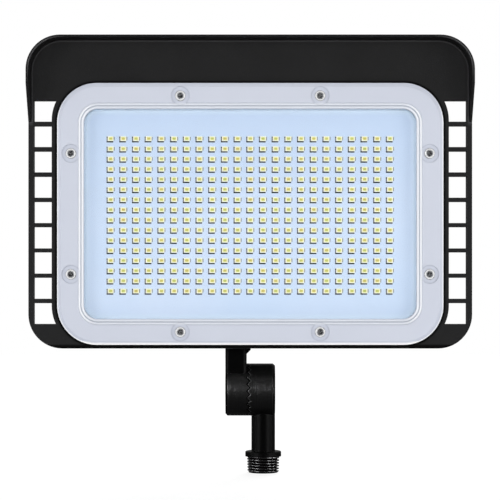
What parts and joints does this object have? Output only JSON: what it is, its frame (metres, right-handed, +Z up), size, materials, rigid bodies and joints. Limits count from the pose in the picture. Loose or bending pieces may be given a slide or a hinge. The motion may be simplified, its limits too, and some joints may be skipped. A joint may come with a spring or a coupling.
{
  "type": "led flood light",
  "caption": "Outdoor LED flood light: black cast head with open ladder sides, glare visor, grey lens frame and finned back, on a serrated tilting knuckle with a conduit thread.",
  "frame": {"origin": "on the conduit thread's axis, at the underside of the collar where the thread begins", "axes": "+Z up along the thread axis toward the head, -Y the way the light shines, +X to the right as seen from the light's front"},
  "size_m": [0.287, 0.0675, 0.2843],
  "materials": {
    "black_casting": "satin",
    "visor_black": "satin",
    "knuckle_black": "satin",
    "frame_grey": "satin",
    "clear_glass": "gloss",
    "seal_rubber": "matte",
    "bright_screw": "satin",
    "dark_screw": "satin",
    "board_white": "satin",
    "led_body": "satin",
    "pad_grey": "matte",
    "driver_case": "satin",
    "lead_sheath": "satin",
    "earth_brass": "satin"
  },
  "bodies": {
    "mount_stem": {"lower_knuckle": "knuckle_black", "knuckle_seal": "seal_rubber"},
    "clamp": {"clamp_bolt": "dark_screw", "flat_washer": "dark_screw", "lock_washer": "dark_screw"},
    "head": {"main_housing": "black_casting", "glare_visor": "visor_black", "visor_screws": "dark_screw", "lens_frame": "frame_grey", "frame_screws": "bright_screw", "lens_glass": "clear_glass", "glass_seal": "seal_rubber", "frame_gasket": "seal_rubber", "led_board": "board_white", "led_packages": "led_body", "thermal_pad": "pad_grey", "led_driver": "driver_case", "driver_screws": "bright_screw", "led_leads": "lead_sheath", "lead_grommet": "seal_rubber", "earth_screw": "earth_brass", "rear_cover": "black_casting", "rear_cover_gasket": "seal_rubber", "rear_cover_screws": "dark_screw", "wire_bush": "seal_rubber", "knuckle_base_gasket": "seal_rubber", "knuckle_base_screws": "bright_screw", "upper_knuckle": "knuckle_black"}
  },
  "joints": [
    {"name": "knuckle_release", "type": "slide", "parent": "mount_stem", "child": "clamp", "axis": [-1, 0, 0], "range_m": [0, 0.0026]},
    {"name": "head_tilt", "type": "hinge", "parent": "clamp", "child": "head", "pos_m": [-0.0094, 0, 0.0439], "axis": [1, 0, 0], "range_deg": [-90, 90]}
  ]
}
